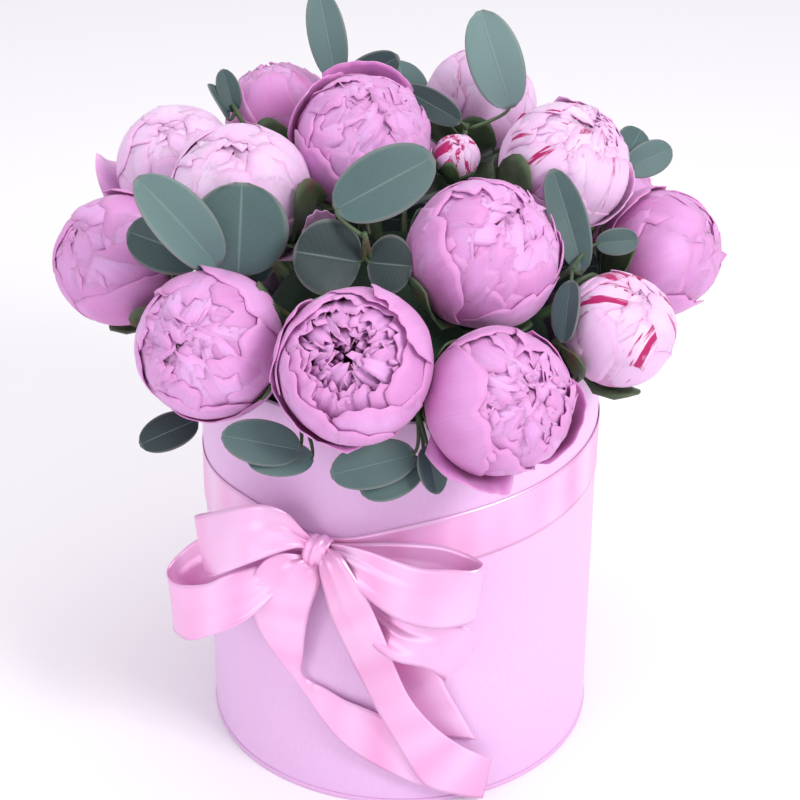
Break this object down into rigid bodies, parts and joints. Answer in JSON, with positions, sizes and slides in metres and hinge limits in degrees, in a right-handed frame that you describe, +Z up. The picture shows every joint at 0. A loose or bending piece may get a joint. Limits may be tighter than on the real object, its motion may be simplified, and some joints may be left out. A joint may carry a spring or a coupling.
{
  "type": "flower box",
  "caption": "Round lidless hat box tied with a satin ribbon and bow, holding a lift-out foam insert of peonies and eucalyptus sprigs.",
  "frame": {"origin": "centre of the box's underside, where it stands", "axes": "+Z up along the box's axis, -Y towards the front, +X to the right seen from the front"},
  "size_m": [0.2923, 0.2832, 0.3284],
  "materials": {
    "box_paper": "pearlescent pale pink paper over rigid cardboard",
    "base_paper": "pearlescent pale pink paper, turned round the edge of the base disc",
    "liner_plastic": "thin waterproof plastic",
    "floral_foam": "wet open-cell floral foam",
    "ribbon_satin": "pink satin ribbon",
    "petal_pink": "soft lilac-pink petals",
    "petal_pale": "pale pink petals with magenta streaks",
    "stem_green": "fresh green stem and sepals",
    "eucalyptus_leaf": "grey-green leaf with a waxy bloom"
  },
  "bodies": {
    "box": {"box_wall": "box_paper", "base_disc": "base_paper", "ribbon_band": "ribbon_satin", "bow_knot": "ribbon_satin", "loop_upper_left": "ribbon_satin", "loop_lower_left": "ribbon_satin", "loop_upper_right": "ribbon_satin", "loop_lower_right": "ribbon_satin", "tail_left": "ribbon_satin", "tail_right": "ribbon_satin"},
    "insert": {"liner": "liner_plastic", "floral_foam": "floral_foam"},
    "peony_01": {"peony_01_bloom": "petal_pink", "peony_01_stem": "stem_green"},
    "peony_02": {"peony_02_bloom": "petal_pink", "peony_02_stem": "stem_green"},
    "peony_03": {"peony_03_bloom": "petal_pink", "peony_03_stem": "stem_green"},
    "peony_04": {"peony_04_bloom": "petal_pink", "peony_04_stem": "stem_green"},
    "peony_05": {"peony_05_bloom": "petal_pale", "peony_05_stem": "stem_green"},
    "peony_06": {"peony_06_bloom": "petal_pink", "peony_06_stem": "stem_green"},
    "peony_07": {"peony_07_bloom": "petal_pale", "peony_07_stem": "stem_green"},
    "peony_08": {"peony_08_bloom": "petal_pink", "peony_08_stem": "stem_green"},
    "peony_09": {"peony_09_bloom": "petal_pale", "peony_09_stem": "stem_green"},
    "peony_10": {"peony_10_bloom": "petal_pale", "peony_10_stem": "stem_green"},
    "peony_11": {"peony_11_bloom": "petal_pink", "peony_11_stem": "stem_green"},
    "peony_12": {"peony_12_bloom": "petal_pink", "peony_12_stem": "stem_green"},
    "peony_13": {"peony_13_bloom": "petal_pale", "peony_13_stem": "stem_green"},
    "peony_14": {"peony_14_bloom": "petal_pale", "peony_14_stem": "stem_green"},
    "peony_15": {"peony_15_bloom": "petal_pink", "peony_15_stem": "stem_green"},
    "peony_16": {"peony_16_bloom": "petal_pink", "peony_16_stem": "stem_green"},
    "peony_17": {"peony_17_bloom": "petal_pink", "peony_17_stem": "stem_green"},
    "peony_18": {"peony_18_bloom": "petal_pale", "peony_18_stem": "stem_green"},
    "sprig_01": {"eucalyptus_01": "eucalyptus_leaf"},
    "sprig_02": {"eucalyptus_02": "eucalyptus_leaf"},
    "sprig_03": {"eucalyptus_03": "eucalyptus_leaf"},
    "sprig_04": {"eucalyptus_04": "eucalyptus_leaf"},
    "sprig_05": {"eucalyptus_05": "eucalyptus_leaf"},
    "sprig_06": {"eucalyptus_06": "eucalyptus_leaf"},
    "sprig_07": {"eucalyptus_07": "eucalyptus_leaf"},
    "sprig_08": {"eucalyptus_08": "eucalyptus_leaf"},
    "sprig_09": {"eucalyptus_09": "eucalyptus_leaf"},
    "sprig_10": {"eucalyptus_10": "eucalyptus_leaf"},
    "sprig_11": {"eucalyptus_11": "eucalyptus_leaf"},
    "sprig_12": {"eucalyptus_12": "eucalyptus_leaf"}
  },
  "joints": [
    {"name": "insert_lift", "type": "slide", "parent": "box", "child": "insert", "axis": [0, 0, 1], "range_m": [0, 0.21]},
    {"name": "peony_01_pull", "type": "slide", "parent": "insert", "child": "peony_01", "axis": [-0.5906, -0.6334, 0.5], "range_m": [0, 0.046]},
    {"name": "peony_02_pull", "type": "slide", "parent": "insert", "child": "peony_02", "axis": [-0.1327, -0.8376, 0.5299], "range_m": [0, 0.046]},
    {"name": "peony_03_pull", "type": "slide", "parent": "insert", "child": "peony_03", "axis": [0.31, -0.8517, 0.4226], "range_m": [0, 0.046]},
    {"name": "peony_04_pull", "type": "slide", "parent": "insert", "child": "peony_04", "axis": [0.3127, -0.4636, 0.829], "range_m": [0, 0.046]},
    {"name": "peony_05_pull", "type": "slide", "parent": "insert", "child": "peony_05", "axis": [0.7417, -0.4635, 0.4848], "range_m": [0, 0.046]},
    {"name": "peony_06_pull", "type": "slide", "parent": "insert", "child": "peony_06", "axis": [0.8713, 0.0762, 0.4848], "range_m": [0, 0.046]},
    {"name": "peony_07_pull", "type": "slide", "parent": "insert", "child": "peony_07", "axis": [0.5561, 0.0585, 0.829], "range_m": [0, 0.046]},
    {"name": "peony_08_pull", "type": "slide", "parent": "insert", "child": "peony_08", "axis": [-0.1349, 0.1349, 0.9816], "range_m": [0, 0.046]},
    {"name": "peony_09_pull", "type": "slide", "parent": "insert", "child": "peony_09", "axis": [-0.547, -0.1163, 0.829], "range_m": [0, 0.046]},
    {"name": "peony_10_pull", "type": "slide", "parent": "insert", "child": "peony_10", "axis": [-0.6998, 0.2827, 0.6561], "range_m": [0, 0.046]},
    {"name": "peony_11_pull", "type": "slide", "parent": "insert", "child": "peony_11", "axis": [-0.8613, -0.0905, 0.5], "range_m": [0, 0.046]},
    {"name": "peony_12_pull", "type": "slide", "parent": "insert", "child": "peony_12", "axis": [-0.3984, 0.569, 0.7193], "range_m": [0, 0.046]},
    {"name": "peony_13_pull", "type": "slide", "parent": "insert", "child": "peony_13", "axis": [0.2219, 0.1333, 0.9659], "range_m": [0, 0.046]},
    {"name": "peony_14_pull", "type": "slide", "parent": "insert", "child": "peony_14", "axis": [0.266, 0.5704, 0.7771], "range_m": [0, 0.046]},
    {"name": "peony_15_pull", "type": "slide", "parent": "insert", "child": "peony_15", "axis": [0.7021, 0.5486, 0.454], "range_m": [0, 0.046]},
    {"name": "peony_16_pull", "type": "slide", "parent": "insert", "child": "peony_16", "axis": [0.2753, 0.8474, 0.454], "range_m": [0, 0.046]},
    {"name": "peony_17_pull", "type": "slide", "parent": "insert", "child": "peony_17", "axis": [-0.2456, 0.8565, 0.454], "range_m": [0, 0.046]},
    {"name": "peony_18_pull", "type": "slide", "parent": "insert", "child": "peony_18", "axis": [-0.6181, 0.6628, 0.4226], "range_m": [0, 0.046]},
    {"name": "eucalyptus_01_pull", "type": "slide", "parent": "insert", "child": "sprig_01", "axis": [-0.5684, -0.4603, 0.682], "range_m": [0, 0.046]},
    {"name": "eucalyptus_02_pull", "type": "slide", "parent": "insert", "child": "sprig_02", "axis": [-0.1067, -0.5489, 0.829], "range_m": [0, 0.046]},
    {"name": "eucalyptus_03_pull", "type": "slide", "parent": "insert", "child": "sprig_03", "axis": [0.582, -0.4228, 0.6947], "range_m": [0, 0.046]},
    {"name": "eucalyptus_04_pull", "type": "slide", "parent": "insert", "child": "sprig_04", "axis": [-0.1954, 0.4603, 0.866], "range_m": [0, 0.046]},
    {"name": "eucalyptus_05_pull", "type": "slide", "parent": "insert", "child": "sprig_05", "axis": [0.2408, 0.287, 0.9272], "range_m": [0, 0.046]},
    {"name": "eucalyptus_06_pull", "type": "slide", "parent": "insert", "child": "sprig_06", "axis": [0.7178, 0.1923, 0.6691], "range_m": [0, 0.046]},
    {"name": "eucalyptus_07_pull", "type": "slide", "parent": "insert", "child": "sprig_07", "axis": [-0.3861, -0.828, 0.4067], "range_m": [0, 0.046]},
    {"name": "eucalyptus_08_pull", "type": "slide", "parent": "insert", "child": "sprig_08", "axis": [0.0637, -0.9113, 0.4067], "range_m": [0, 0.046]},
    {"name": "eucalyptus_09_pull", "type": "slide", "parent": "insert", "child": "sprig_09", "axis": [-0.7912, -0.4568, 0.4067], "range_m": [0, 0.046]},
    {"name": "eucalyptus_10_pull", "type": "slide", "parent": "insert", "child": "sprig_10", "axis": [-0.5065, 0.3957, 0.766], "range_m": [0, 0.046]},
    {"name": "eucalyptus_11_pull", "type": "slide", "parent": "insert", "child": "sprig_11", "axis": [0.0259, 0.7427, 0.6691], "range_m": [0, 0.046]},
    {"name": "eucalyptus_12_pull", "type": "slide", "parent": "insert", "child": "sprig_12", "axis": [-0.8925, 0.1574, 0.4226], "range_m": [0, 0.046]}
  ]
}
